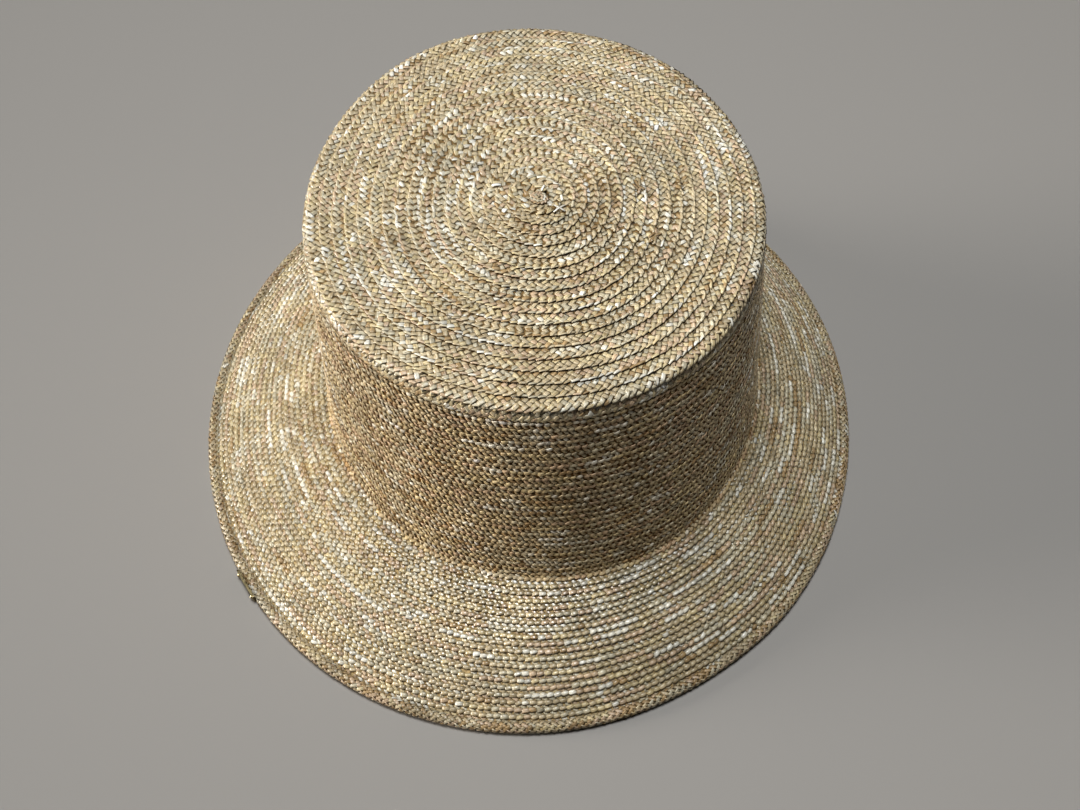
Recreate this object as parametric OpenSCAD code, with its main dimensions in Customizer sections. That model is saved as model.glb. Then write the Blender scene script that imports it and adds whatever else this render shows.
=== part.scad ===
// Straw sun hat: sewn rows of plaited straw over an oval head opening, with a flat tip,
// a steep crown and a brim that slopes down to a turned-under, wired edge.
//
// The hat is built on one four-centre oval. Its two flanks are arcs about side_c, its two
// ends are arcs about end_c, and every outline of the hat is a parallel curve of the others,
// named by its half width. +Y is the front of the hat, +X the wearer's right, and the brim's
// edge rests on z = 0.

/* [Head oval] */
// Half width of the crown's outside at its base
base_half_w = 88; // [80:0.5:96]
// How much further the oval reaches to the front than to the side
oval_extra = 11.5; // [9:0.5:13]

/* [Crown] */
// Half width of the crown's outside under its rounded shoulder
shoulder_half_w = 81.5; // [76:0.5:86]
// Height of the tip's rim above the floor
tip_z = 120.5; // [110:0.5:130]
// Radius of the rounded shoulder
shoulder_r = 5; // [4:0.5:8]
// Thickness of the sewn braid
braid_t = 1.8; // [1.4:0.1:2.4]
// Rows of braid in the crown's wall
side_rows = 28; // [10:1:32]
// Rows of braid in the tip
tip_rows = 16; // [6:1:20]
// How far each row stands proud of the next one out
row_step = 0.4; // [0.2:0.1:0.6]
// How far each row of the tip rises above the next one out
tip_row_rise = 0.08; // [0.05:0.01:0.12]
// Radius of the coil that the spiral of braid starts from
button_r = 6.5; // [4:0.5:9]

/* [Brim] */
// Half width of the hat at the brim's edge
brim_half_w = 135; // [120:0.5:150]
// Height of the crown's base above the floor
base_z = 27.5; // [20:0.5:35]
// Rows of braid in the brim
brim_rows = 18; // [8:1:20]
// Share of the brim's fall that comes from its curve, the rest being a straight slope
brim_curve = 0.35; // [0:0.05:0.5]
// Height of the turned-under edge row
edge_h = 4; // [3.6:0.1:5]
// Width of the turned-under edge row
edge_w = 4.4; // [4:0.1:6]

/* [Brim wire] */
// Radius of the wire in the brim's edge
wire_r = 0.5; // [0.4:0.1:0.6]
// Outer radius of the sleeve that joins the wire's ends
sleeve_r = 0.75; // [0.7:0.05:0.8]
// Angle of the back arc that the sleeve covers
sleeve_turn = 6; // [4:1:10]

/* [Sweatband] */
// Height of the grosgrain sweatband
band_h = 27; // [20:1:32]
// Thickness of the sweatband
band_t = 0.7; // [0.5:0.1:1]
// Width of the tape over the sweatband's joint
tape_w = 14; // [10:1:20]
// Width of the blank size label
label_w = 20; // [14:1:26]
// Height of the blank size label
label_h = 32; // [24:1:40]
// Stitches in each of the sweatband's four arcs
arc_stitches = 24; // [12:1:30]
// Length of one stitch
stitch_l = 3.4; // [2.5:0.1:4]

/* [Edge plate] */
// Length of the blank metal plate on the brim's edge
plate_l = 15; // [12:0.5:20]
// Thickness of the plate
plate_t = 0.8; // [0.6:0.1:1]
// Height of the plate
plate_h = 3.8; // [3:0.1:4.5]
// Direction of the plate's middle, from +X
plate_dir = 214; // [190:0.5:214]
// Radius of the plate's two rivets
rivet_r = 0.5; // [0.4:0.05:0.6]
// Radius of the rivets' heads
rivet_head_r = 0.95; // [0.8:0.05:1.1]

/* [Hidden] */

// Fragments in a whole turn of a swept arc, and in a small round section
$fn = 180;
small_fn = 32;

// The arcs' centres and the middle make a 3-4-5 triangle, so the flanks run into the ends
// tangentially and the planes between them slope 3 in 4
side_c = 2 * oval_extra;
end_c = 1.5 * oval_extra;
split = atan2(3, 4);
// Directions of those planes, and the reach of the wedges that cut arcs out of whole rings
plane_dir = [4, 3];
plane_dir_left = [-plane_dir.x, plane_dir.y];
plane_dir_back = [plane_dir.x, -plane_dir.y];
reach = 80;

straw = "#c9ab74";
dark_straw = "#a98a56";
ribbon = "#e6dcc4";
thread = "#f2ecdc";
steel = "#9a9a9c";
brass = "#7f7550";

// Height of the shoulder's foot, where the crown's wall ends
wall_top_z = tip_z - shoulder_r;
// Inner end of the tip's flat part
plate_half_w = shoulder_half_w - shoulder_r;

// Half width of the wall's outside at height z
function wall_u(z) =
    base_half_w + (shoulder_half_w - base_half_w) * (z - base_z) / (wall_top_z - base_z);

// The brim falls from the crown's base to the top of its edge row
edge_in_u = brim_half_w - edge_w;
brim_fall = base_z - edge_h;
function brim_share(u) = (u - base_half_w) / (edge_in_u - base_half_w);
function brim_z(u) =
    base_z - brim_fall * ((1 - brim_curve) * brim_share(u) + brim_curve * pow(brim_share(u), 2));

// Half width of the sweatband's outer face, just clear of the wall; it starts just under its base
band_gap = 0.05;
function band_u(z) = wall_u(z) - braid_t - band_gap;
band_drop = 0.5;
band_low_z = base_z - band_drop;
band_top_z = band_low_z + band_h;

// Height and half width of the wire inside the folded edge row
wire_z = edge_h / 2;
wire_inset = 1.9;
wire_u = brim_half_w - wire_inset;
// Clear space round the wire in the fold
fold_r = sleeve_r + 0.05;

// The plate stands just clear of the floor
plate_low_z = 0.3;
plate_mid_z = plate_low_z + plate_h / 2;

// Radii of a flank arc and of an end arc of the outline at half width u
function flank_r(u) = u + side_c;
function end_r(u) = u + oval_extra - end_c;

// Turns the children from the flank's frame: x outwards, y along the edge, z up
module on_flank(u, dir) {
    side = dir > 90 ? 1 : -1;
    translate([side * side_c, 0, 0])
        rotate([0, 0, dir])
            translate([flank_r(u), 0, 0])
                children();
}

// The same on the end arc at the back of the hat
module on_back(u, dir) {
    translate([0, -end_c, 0])
        rotate([0, 0, dir])
            translate([end_r(u), 0, 0])
                children();
}

// Flat oval of half width u
module oval(u) {
    meet_y = flank_r(u) * 3 / 5;
    intersection() {
        translate([-side_c, 0]) circle(flank_r(u));
        translate([side_c, 0]) circle(flank_r(u));
        square([4 * u, 2 * meet_y], center = true);
    }
    for (side = [-1, 1])
        translate([0, side * end_c]) circle(end_r(u));
}

// Sweeps a section, drawn as x = half width and y = height, once round the oval
module oval_sweep() {
    for (half = [0, 180])
        rotate([0, 0, half]) {
            arc_of_ring([-side_c, 0], [plane_dir_back, plane_dir]) children();
            arc_of_ring([0, end_c], [plane_dir, plane_dir_left]) children();
        }
}

// The part of a whole ring about a centre that lies between two directions
module arc_of_ring(centre, sides) {
    inset = centre.x == 0 ? oval_extra - end_c : side_c;
    translate(centre)
        intersection() {
            rotate_extrude() translate([inset, 0]) children();
            translate([0, 0, -tip_z])
                linear_extrude(3 * tip_z) polygon([[0, 0], reach * sides[0], reach * sides[1]]);
        }
}

// Sweeps a section through a turn about a direction of the back arc
module back_sweep(dir, turn) {
    translate([0, -end_c, 0])
        rotate([0, 0, dir - turn / 2])
            rotate_extrude(angle = turn)
                translate([oval_extra - end_c, 0]) children();
}

// Sweeps a section through a turn about a direction of the left flank
module left_sweep(dir, turn) {
    translate([side_c, 0, 0])
        rotate([0, 0, dir - turn / 2])
            rotate_extrude(angle = turn)
                translate([side_c, 0]) children();
}

// Tapered strip along the wall's inside, between two heights and two depths from the band
module band_section(z0, z1, d0, d1) {
    polygon([[band_u(z0) - d0, z0], [band_u(z1) - d0, z1],
             [band_u(z1) - d1, z1], [band_u(z0) - d1, z0]]);
}

// Coil of braid that the spiral starts from
module tip_button() {
    coil_r = button_r / 4;
    color(straw)
        translate([0, 0, tip_z + tip_rows * tip_row_rise])
            rotate_extrude()
                intersection() {
                    union() {
                        square([button_r - coil_r, coil_r / 2]);
                        for (i = [0, 1])
                            translate([button_r - coil_r * (1 + 2 * i), 0])
                                circle(coil_r, $fn = small_fn);
                    }
                    square([button_r, coil_r]);
                }
}

// Flat tip, its rows as low terraces, with the shoulder that rolls over to the wall
module crown_tip() {
    color(straw) {
        translate([0, 0, tip_z - braid_t])
            linear_extrude(braid_t) oval(plate_half_w);
        for (i = [1 : tip_rows])
            translate([0, 0, tip_z - braid_t / 2])
                linear_extrude(braid_t / 2 + i * tip_row_rise)
                    scale(1 - i / (tip_rows + 2))
                        oval(plate_half_w);
        oval_sweep()
            translate([plate_half_w, wall_top_z])
                intersection() {
                    difference() {
                        circle(shoulder_r, $fn = small_fn);
                        circle(shoulder_r - braid_t, $fn = small_fn);
                    }
                    square(shoulder_r);
                }
    }
}

// Tapered wall, each row's lower edge proud of the row below
module crown_side() {
    pitch = (wall_top_z - base_z) / side_rows;
    outside = [for (i = [0 : side_rows - 1], top = [0, 1])
        let (z = base_z + (i + top) * pitch)
        [wall_u(z) + (1 - top) * row_step, z]];
    color(straw)
        oval_sweep()
            polygon(concat(
                outside,
                [[wall_u(wall_top_z) - braid_t, wall_top_z], [wall_u(base_z) - braid_t, base_z]]
            ));
}

// Sloping brim, each row's outer edge proud of the row below it
module brim() {
    pitch = (edge_in_u - base_half_w) / brim_rows;
    top = [for (i = [0 : brim_rows - 1], out = [0, 1])
        let (u = base_half_w + (i + out) * pitch)
        [u, brim_z(u) + out * row_step]];
    underside = [for (i = [brim_rows : -3 : 0])
        let (u = base_half_w + i * pitch)
        [u, brim_z(u) - braid_t]];
    inner_u = base_half_w - braid_t;
    color(straw)
        oval_sweep()
            polygon(concat(
                [[inner_u, base_z]], top, underside, [[inner_u, base_z - braid_t]]
            ));
}

// Last row, folded under round the wire; its two flaps stop at the brim
module brim_edge() {
    round_r = edge_h / 2;
    color(dark_straw)
        difference() {
            oval_sweep()
                difference() {
                    union() {
                        translate([edge_in_u, 0]) square([edge_w - round_r, edge_h]);
                        translate([brim_half_w - round_r, 0]) square(round_r);
                        translate([brim_half_w - round_r, round_r])
                            intersection() {
                                circle(round_r, $fn = small_fn);
                                square(round_r);
                            }
                    }
                    translate([wire_u, wire_z]) circle(fold_r, $fn = small_fn);
                    translate([edge_in_u - 1, wire_z - fold_r])
                        square([wire_u - edge_in_u + 1, 2 * fold_r]);
                }
            rivet_places() rivet_hole();
        }
}

// Wire that holds the brim's shape
module brim_wire() {
    color(steel)
        oval_sweep()
            translate([wire_u, wire_z]) circle(wire_r, $fn = small_fn);
}

// Sleeve over the wire's two ends, at the back of the hat
module wire_joiner() {
    color(brass)
        back_sweep(-90, sleeve_turn)
            translate([wire_u, wire_z])
                difference() {
                    circle(sleeve_r, $fn = small_fn);
                    circle(wire_r, $fn = small_fn);
                }
}

// Ribbon inside the head opening
module sweatband() {
    color(ribbon)
        oval_sweep() band_section(band_low_z, band_top_z, 0, band_t);
}

// Tape sewn over the place where the sweatband's ends meet
module joint_tape() {
    tape_t = 0.5;
    tape_rise = 1;
    turn = tape_w / end_r(base_half_w) * 180 / PI;
    color(ribbon)
        back_sweep(-90, turn)
            band_section(band_low_z + tape_rise, band_top_z, band_t, band_t + tape_t);
}

// Running stitches along the sweatband's lower edge
module sweatband_thread() {
    stitch_r = 0.2;
    stitch_rise = 2;
    stitch_gap = 0.02;
    stitch_z = band_low_z + stitch_rise;
    stitch_u = band_u(stitch_z) - band_t - stitch_r - stitch_gap;
    flank_turn = 2 * split / arc_stitches;
    end_turn = (180 - 2 * split) / arc_stitches;
    color(thread)
        for (half = [0, 180], i = [0 : arc_stitches - 1])
            rotate([0, 0, half]) {
                on_flank(stitch_u, (i + 0.5) * flank_turn - split) stitch(stitch_r, stitch_z);
                if (half == 180 || !under_tape((i + 0.5) * end_turn + split))
                    on_back(stitch_u, -180 + split + (i + 0.5) * end_turn)
                        stitch(stitch_r, stitch_z);
            }
}

// Whether a stitch at this direction of the back arc lies behind the joint's tape
function under_tape(dir) = abs(dir - 90) * PI / 180 * end_r(base_half_w) < tape_w / 2 + stitch_l;

module stitch(r, z) {
    translate([0, 0, z])
        rotate([90, 0, 0])
            cylinder(r = r, h = stitch_l, center = true, $fn = small_fn);
}

// Blank woven label, sewn to the sweatband on the wearer's left
module blank_label() {
    label_t = 0.4;
    lap = 22;
    turn = label_w / flank_r(base_half_w) * 180 / PI;
    top_z = band_top_z + label_h - lap;
    color(thread)
        left_sweep(180, turn)
            band_section(top_z - label_h, top_z, band_t, band_t + label_t);
}

// Moves the children to the plate's two rivets, x outwards from the edge row's face
module rivet_places() {
    inset = 2;
    turn = (plate_l / 2 - inset) / flank_r(brim_half_w) * 180 / PI;
    for (side = [-1, 1])
        on_flank(brim_half_w, plate_dir + side * turn)
            translate([0, 0, plate_mid_z]) children();
}

// Cutter for a rivet's hole, through the plate and the edge row's face
module rivet_hole() {
    hole_gap = 0.05;
    hole_in = 1.4;
    hole_l = 6;
    rotate([0, 90, 0])
        translate([0, 0, -hole_in])
            cylinder(r = rivet_r + hole_gap, h = hole_l, $fn = small_fn);
}

// Blank plate on the brim's edge, curved with it, its corners rounded
module brim_plate() {
    turn = plate_l / flank_r(brim_half_w) * 180 / PI;
    corner_r = 1;
    plate_gap = 0.02;
    cut_in = 2;
    cut_l = 6;
    cut_inset = 0.1;
    color(brass)
        difference() {
            intersection() {
                left_sweep(plate_dir, turn)
                    translate([brim_half_w + plate_gap, plate_low_z]) square([plate_t, plate_h]);
                on_flank(brim_half_w, plate_dir)
                    translate([-cut_in, 0, plate_mid_z])
                        rotate([90, 0, 90])
                            linear_extrude(cut_l)
                                rounded_plate(plate_l - cut_inset, plate_h, corner_r);
            }
            rivet_places() rivet_hole();
        }
}

// Rectangle of the given length and height with round corners
module rounded_plate(l, h, r) {
    square([l - 2 * r, h], center = true);
    square([l, h - 2 * r], center = true);
    for (x = [-1, 1], y = [-1, 1])
        translate([x * (l / 2 - r), y * (h / 2 - r)]) circle(r, $fn = small_fn);
}

// Two rivets through the plate into the edge row
module plate_rivets() {
    head_h = 0.5;
    head_taper = 0.6;
    shank_in = 1;
    head_gap = 0.05;
    head_x = plate_t + head_gap;
    color(brass)
        rivet_places()
            rotate([0, 90, 0]) {
                translate([0, 0, -shank_in])
                    cylinder(r = rivet_r, h = shank_in + head_x, $fn = small_fn);
                translate([0, 0, head_x])
                    cylinder(r1 = rivet_head_r, r2 = rivet_head_r * head_taper, h = head_h,
                             $fn = small_fn);
            }
}

tip_button();
crown_tip();
crown_side();
brim();
brim_edge();
brim_wire();
wire_joiner();
sweatband();
joint_tape();
sweatband_thread();
blank_label();
brim_plate();
plate_rivets();
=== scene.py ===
"""Straw sun hat: one plaited braid coiled from the middle of the tip to the brim, built straw by straw."""
import math

import bpy
import numpy as np
from mathutils import Matrix, Vector


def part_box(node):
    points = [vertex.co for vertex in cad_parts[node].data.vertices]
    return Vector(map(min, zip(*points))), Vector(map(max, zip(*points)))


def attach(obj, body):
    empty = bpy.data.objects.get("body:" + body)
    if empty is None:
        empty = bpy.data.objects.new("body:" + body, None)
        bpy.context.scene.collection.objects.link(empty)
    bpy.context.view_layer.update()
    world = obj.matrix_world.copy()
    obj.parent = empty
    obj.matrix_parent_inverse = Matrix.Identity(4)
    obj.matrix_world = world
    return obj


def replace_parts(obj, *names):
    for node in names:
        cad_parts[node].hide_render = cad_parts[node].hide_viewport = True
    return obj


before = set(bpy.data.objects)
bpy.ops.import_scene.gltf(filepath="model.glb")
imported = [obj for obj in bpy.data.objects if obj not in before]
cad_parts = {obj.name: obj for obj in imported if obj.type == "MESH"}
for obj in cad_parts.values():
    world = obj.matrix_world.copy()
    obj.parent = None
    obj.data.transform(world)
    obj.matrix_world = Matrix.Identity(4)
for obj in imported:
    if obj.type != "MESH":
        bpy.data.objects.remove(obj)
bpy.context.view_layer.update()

MM = 0.001
TURN = 2 * math.pi

# ---------------------------------------------------------------- sizes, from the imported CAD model

# As in the CAD model, +Y is the hat's front and +X the wearer's right; the camera stands at the back, on -Y

_, edge_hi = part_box("brim_edge")
_, tip_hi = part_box("crown_tip")
wall_lo, wall_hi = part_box("crown_side")
_, brim_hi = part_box("brim")
band_lo, band_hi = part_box("sweatband")
label_lo, label_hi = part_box("blank_label")
tape_lo, tape_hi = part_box("joint_tape")

oval_extra = edge_hi.y - edge_hi.x
side_c = 2 * oval_extra
end_c = 1.5 * oval_extra

shoulder_u = tip_hi.x
base_z = wall_lo.z
# How far the lower edge of each of the CAD wall's rows stands out, and the radius of the CAD's shoulder
row_step = 0.4 * MM
cad_shoulder_r = 5 * MM
base_u = wall_hi.x - row_step
edge_in_u = brim_hi.x
edge_u = edge_hi.x
edge_h = edge_hi.z
# The straw's own shoulder radius, the height of the tip's rim, and where the wall ends under the shoulder
shoulder_r = 2.6 * MM
rim_z = wall_hi.z + cad_shoulder_r
wall_top_z = rim_z - shoulder_r
flat_u = shoulder_u - shoulder_r
# The share of the brim's fall that comes from its curve, the rest being a straight slope
brim_curve = 0.35
# The brim's rows run on inside the turned-under edge row by this share of the brim's width
under_edge = 1.055

# The braid's middle lies this far under the CAD surface
half_braid = 0.9 * MM
# How far the crown stands off the brim's middle, to the wearer's right and forward: at its base, at the tip's
# rim and at the tip's middle
shift_base = Vector((6.2, 2.6)) * MM
shift_tip = Vector((2.9, 2.6)) * MM
shift_middle = Vector((4.4, 2.9)) * MM

# How far the back of the crown's top is pressed in, towards the front
back_press = 4.6 * MM
# How much higher the front of the tip stands than its middle
tip_slope = 1.6 * MM
# Where the brim is wider or narrower than a true oval: direction and spread in radians, and by how much
brim_bends = [(math.radians(32), 0.5, 2.2 * MM), (math.radians(-58), 0.36, -2.3 * MM)]

# ---------------------------------------------------------------- the hat's surface


def oval(u, turn):
    """Points on the oval of half width u where its outward direction is turn."""
    c, s = np.cos(turn), np.sin(turn)
    flank = np.abs(c) >= 0.8
    x = np.where(flank, (u + side_c) * c - np.sign(c) * side_c, (u + oval_extra - end_c) * c)
    y = np.where(flank, (u + side_c) * s, (u + oval_extra - end_c) * s + np.sign(s) * end_c)
    return x, y


def meridian():
    """Half widths and heights down the middle of the braid, every quarter millimetre."""
    tip_rise = 1.2 * MM
    flat = [(u, rim_z - half_braid + tip_rise * (1 - (u / flat_u) ** 2))
            for u in np.linspace(0, flat_u, 60)]
    bend = shoulder_r - half_braid
    roll = [(flat_u + bend * math.sin(a), wall_top_z + bend * math.cos(a))
            for a in np.linspace(0.1, math.pi / 2, 14)]
    wall = [(base_u - half_braid, base_z)]
    slope = []
    for share in np.linspace(0.05, under_edge, 25):
        fall = (1 - brim_curve) * share + brim_curve * share**2
        slope.append((base_u + (edge_in_u - base_u) * share, base_z - half_braid - (base_z - edge_h) * fall))
    line = np.array(flat + roll + wall + slope)
    run = np.concatenate([[0], np.cumsum(np.hypot(*np.diff(line, axis=0).T))])
    fine = np.arange(0, run[-1], 0.25 * MM)
    u, z = np.interp(fine, run, line[:, 0]), np.interp(fine, run, line[:, 1])
    # A running mean, twice over, softens the corners
    window = np.ones(9) / 9
    for _ in range(2):
        u[8:] = np.convolve(np.pad(u, 4, mode="edge"), window, "valid")[8:]
        z = np.convolve(np.pad(z, 4, mode="edge"), window, "valid")
    return fine, u, z


run, mer_u, mer_z = meridian()
# Run along the meridian where the wall begins and where the brim begins
run_wall = run[np.argmax((mer_z < wall_top_z) & (mer_u > flat_u))]
run_brim = run[np.argmax((mer_z < base_z) & (mer_u > base_u - 2 * half_braid))]
run_end = run[-1]

TIP_ROWS = 19
WALL_ROWS = 29
BRIM_ROWS = 21
row_runs = np.concatenate([
    np.linspace(0, run_wall, TIP_ROWS + 1),
    np.linspace(run_wall, run_brim, WALL_ROWS + 1)[1:],
    np.linspace(run_brim, run_end, BRIM_ROWS + 1)[1:],
])
ROWS = len(row_runs) - 1


def run_of(row):
    """Run along the meridian of a row number, which goes up by one in each turn of the spiral."""
    return np.interp(row, np.arange(ROWS + 1), row_runs)


def wave(turn, seed, lobes, size):
    """Slow unevenness of handwork round the hat."""
    rng = np.random.default_rng(seed)
    out = np.zeros_like(turn)
    for k in range(1, lobes + 1):
        out += rng.normal() / k * np.cos(k * turn + rng.uniform(0, TURN))
    return out * size


def unevenness(turn):
    """How far the hat stands out from a true oval, or in from it, in each direction."""
    return wave(turn, 3, 5, 0.35 * MM)


def bell(turn, way, wide):
    """A smooth bump of height 1 round one direction, all three in radians."""
    off = (turn - way + math.pi) % TURN - math.pi
    return np.exp(-((off / wide) ** 2))


def pressed(y):
    """How far forward each point is pressed: nothing in the front half, and most at the back."""
    return back_press * np.clip(-y / flat_u, 0, 1) ** 1.5


def surface(at, turn):
    """Points on the hat's middle surface, at a run along the meridian and a direction round the hat."""
    u, z = np.interp(at, run, mer_u), np.interp(at, run, mer_z)
    inner = np.minimum(u / flat_u, 1)
    x, y = oval(np.maximum(u, flat_u), turn)
    x, y = x * inner, y * inner
    # The innermost rows are rounder than the oval
    rounder = np.clip(1 - u / (0.35 * flat_u), 0, 1)
    y = y * (1 - 0.1 * rounder)
    on_brim = np.clip((at - run_brim) / (run_end - run_brim), 0, 1)
    on_wall = np.clip((at - run_wall) / (run_brim - run_wall), 0, 1)
    ease = 1 - on_brim
    shift_x = shift_middle.x + (shift_tip.x - shift_middle.x) * inner + (shift_base.x - shift_tip.x) * on_wall
    shift_y = shift_middle.y + (shift_tip.y - shift_middle.y) * inner + (shift_base.y - shift_tip.y) * on_wall
    y = y + pressed(y) * (1 - on_wall)
    bulge = unevenness(turn) * inner
    bulge = bulge + sum(size * bell(turn, way, wide) for way, wide, size in brim_bends) * on_brim
    x = x + np.cos(turn) * bulge + shift_x * ease
    y = y + np.sin(turn) * bulge + shift_y * ease
    z = z + wave(turn, 5, 6, 0.3 * MM) * on_brim * (1 - on_brim) * 4
    z = z + wave(turn, 8, 4, 0.25 * MM) * (1 - on_wall) * inner
    z = z + tip_slope * (y / flat_u) * (1 - on_wall)
    return np.stack([x, y, z], -1)


def unit(v):
    """Vectors brought to length 1."""
    return v / np.maximum(np.linalg.norm(v, axis=-1, keepdims=True), 1e-12)


def frame_at(row, turn):
    """Point, direction along the row, direction across it outwards, and outward normal."""
    at = run_of(row)
    point = surface(at, turn)
    nudge, nudge_turn = 0.4 * MM, 0.004
    along = unit(surface(at, turn + nudge_turn) - surface(at, turn - nudge_turn))
    across = unit(surface(at + nudge, turn) - surface(np.maximum(at - nudge, 0), turn))
    normal = unit(np.cross(across, along))
    across = np.cross(along, normal)
    return point, along, across, normal


def row_width(rows):
    """How wide the row centred on each row number is; it stays nearly whole where the braid ends."""
    width = run_of(rows + 0.5) - run_of(rows - 0.5)
    return np.maximum(width, 0.8 * width[0])


# Points to the turn where the spiral's length is measured
TURN_SAMPLES = 240


def spiral(first, last, pitch):
    """Directions, as a total turn, of equal steps along the spiral between two rows."""
    turns = np.linspace(first * TURN, last * TURN, int((last - first) * TURN_SAMPLES) + 2)
    points = surface(run_of(turns / TURN + 0.5), turns)
    length = np.concatenate([[0], np.cumsum(np.linalg.norm(np.diff(points, axis=0), axis=1))])
    count = max(2, round(length[-1] / pitch))
    steps = (np.arange(count) + 0.5) / count * length[-1]
    return np.interp(steps, length, turns)


# ---------------------------------------------------------------- mesh building


class Heap:
    """Gathers quads and polygons, with a tint and strand coordinates on each point, into one mesh."""

    def __init__(self):
        self.points, self.tints, self.strands = [], [], []
        self.corners, self.sizes, self.maps = [], [], []
        self.count = 0

    def add(self, points, faces, tints, strands, maps):
        """faces is an (n, k) array of indices into points, and maps an (n, k, 2) array of texture places."""
        for face, place in zip(faces, maps):
            self.corners.append((face + self.count).ravel())
            self.sizes.append(np.full(len(face), face.shape[1]))
            self.maps.append(place.reshape(-1, 2))
        self.points.append(points)
        self.tints.append(tints)
        self.strands.append(strands)
        self.count += len(points)

    def build(self, name, material):
        """Makes one object of everything added, on the hat's one body and with its slot."""
        mesh = bpy.data.meshes.new(name)
        points = np.concatenate(self.points).astype(np.float32)
        corners = np.concatenate(self.corners).astype(np.int32)
        sizes = np.concatenate(self.sizes).astype(np.int32)
        mesh.vertices.add(len(points))
        mesh.vertices.foreach_set("co", points.ravel())
        mesh.loops.add(len(corners))
        mesh.loops.foreach_set("vertex_index", corners)
        mesh.polygons.add(len(sizes))
        starts = np.concatenate([[0], np.cumsum(sizes)[:-1]]).astype(np.int32)
        mesh.polygons.foreach_set("loop_start", starts)
        mesh.polygons.foreach_set("use_smooth", np.full(len(sizes), True))
        mesh.update(calc_edges=True)
        tint = mesh.attributes.new("tint", "FLOAT_COLOR", "POINT")
        tint.data.foreach_set("color", np.concatenate(self.tints).astype(np.float32).ravel())
        strand = mesh.attributes.new("strand", "FLOAT_VECTOR", "POINT")
        strand.data.foreach_set("vector", np.concatenate(self.strands).astype(np.float32).ravel())
        layer = mesh.uv_layers.new(name="OFBake")
        layer.data.foreach_set("uv", np.concatenate(self.maps).astype(np.float32).ravel())
        mesh.materials.append(material)
        mesh.validate()
        made = bpy.data.objects.new(name, mesh)
        bpy.context.scene.collection.objects.link(made)
        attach(made, "root")
        return made


class Straw:
    """One visible stretch of a flattened straw: a closed pillow on a grid of n along by 4 across."""

    def __init__(self, n):
        self.a = np.repeat(np.linspace(-1, 1, n), 4)
        self.b = np.tile(np.linspace(-1, 1, 4), n)
        top = [[4 * i + j, 4 * i + 4 + j, 4 * i + 5 + j, 4 * i + 1 + j]
               for i in range(n - 1) for j in range(3)]
        under = [[4 * i, 4 * i + 3, 4 * i + 7, 4 * i + 4] for i in range(n - 1)]
        last = 4 * (n - 1)
        ends = [[0, 1, 2, 3], [last + 3, last + 2, last + 1, last]]
        self.faces = np.array(top + under + ends)
        place = np.stack([0.04 + 0.92 * (self.a + 1) / 2, 0.03 + 0.8 * (self.b + 1) / 2], -1)
        hidden = np.stack([0.04 + 0.92 * (self.a + 1) / 2, 0.88 + 0.08 * (self.b + 1) / 2], -1)
        self.maps = np.concatenate([place[np.array(top)], hidden[np.array(under + ends)]])


def lay_straws(heap, straw, centre, along, across, normal, angle, length, width, lift, crown, tilt, roll,
               tint, total, start):
    """Adds one straw at each centre. angle is its slant from the row, lift how high its middle arches, crown
    how round it is across, tilt how much its outer side stands up, and roll how far one side is turned up.
    total is how many straws the piece has and start how many came before, which give each its place in the
    texture."""
    tilt = np.broadcast_to(tilt, len(centre))
    a, b = straw.a[None, :], straw.b[None, :]
    c, s = np.cos(angle)[:, None], np.sin(angle)[:, None]
    taper = 1 - 0.12 * a**2
    x = a * length[:, None] / 2
    y = b * width[:, None] / 2 * taper
    sa, ta = x * c - y * s, x * s + y * c
    high = lift[:, None] * np.cos(a * math.pi / 2) ** 0.8
    high = high + crown[:, None] * (1 - b**2) * (1 - 0.5 * a**2)
    high = high + tilt[:, None] * ta + roll[:, None] * b * width[:, None] / 2
    points = (centre[:, None] + sa[..., None] * along[:, None] + ta[..., None] * across[:, None]
              + high[..., None] * normal[:, None])
    n, m = len(centre), len(straw.a)
    faces = (straw.faces[None] + m * np.arange(n)[:, None, None]).reshape(-1, 4)
    side = math.ceil(math.sqrt(total))
    slots = start + np.arange(n)
    origin = np.stack([slots % side, slots // side], -1)[:, None, None]
    maps = (origin + straw.maps[None]) / side
    strands = np.stack([np.broadcast_to(x, (n, m)), np.broadcast_to(y, (n, m)),
                        np.broadcast_to(slots[:, None] * MM, (n, m))], -1)
    tints = np.broadcast_to(tint[:, None], (n, m, 4)).reshape(-1, 4)
    heap.add(points.reshape(-1, 3), [faces], tints, strands.reshape(-1, 3), [maps.reshape(-1, 4, 2)])


def skin(heap, points, tint, closed=False):
    """Adds a closed tube through rings of points, an (n, k, 3) array, with its ends capped."""
    n, k = points.shape[:2]
    ring = np.arange(k)
    spans = np.arange(n if closed else n - 1)
    after = (spans + 1) % n
    faces = np.stack([
        (spans[:, None] * k + ring[None]), (spans[:, None] * k + (ring[None] + 1) % k),
        (after[:, None] * k + (ring[None] + 1) % k), (after[:, None] * k + ring[None])], -1).reshape(-1, 4)
    # A long tube's texture is cut into lines, one above the other
    lines = max(1, round(math.sqrt(n / 40)))
    per_line = math.ceil(n / lines)
    x0 = (spans % per_line) / per_line
    y0 = spans // per_line
    u = np.stack([x0, x0, x0 + 1 / per_line, x0 + 1 / per_line], -1)[:, None].repeat(k, 1)
    v = (y0[:, None, None] + (ring[None, :, None] + np.array([0, 1, 1, 0])[None, None]) / (k + 1)) / lines
    maps = np.stack([u, v], -1).reshape(-1, 4, 2)
    groups, places = [faces], [maps]
    if not closed:
        for cap in (ring[::-1], ring + (n - 1) * k):
            groups.append(cap[None])
            places.append(np.full((1, k, 2), 0.999))
    strands = np.zeros((n * k, 3))
    strands[:, 0] = np.repeat(np.arange(n), k) * 2 * MM
    heap.add(points.reshape(-1, 3), groups, np.broadcast_to(tint, (n * k, 4)), strands, places)


# ---------------------------------------------------------------- straw colours

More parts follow.
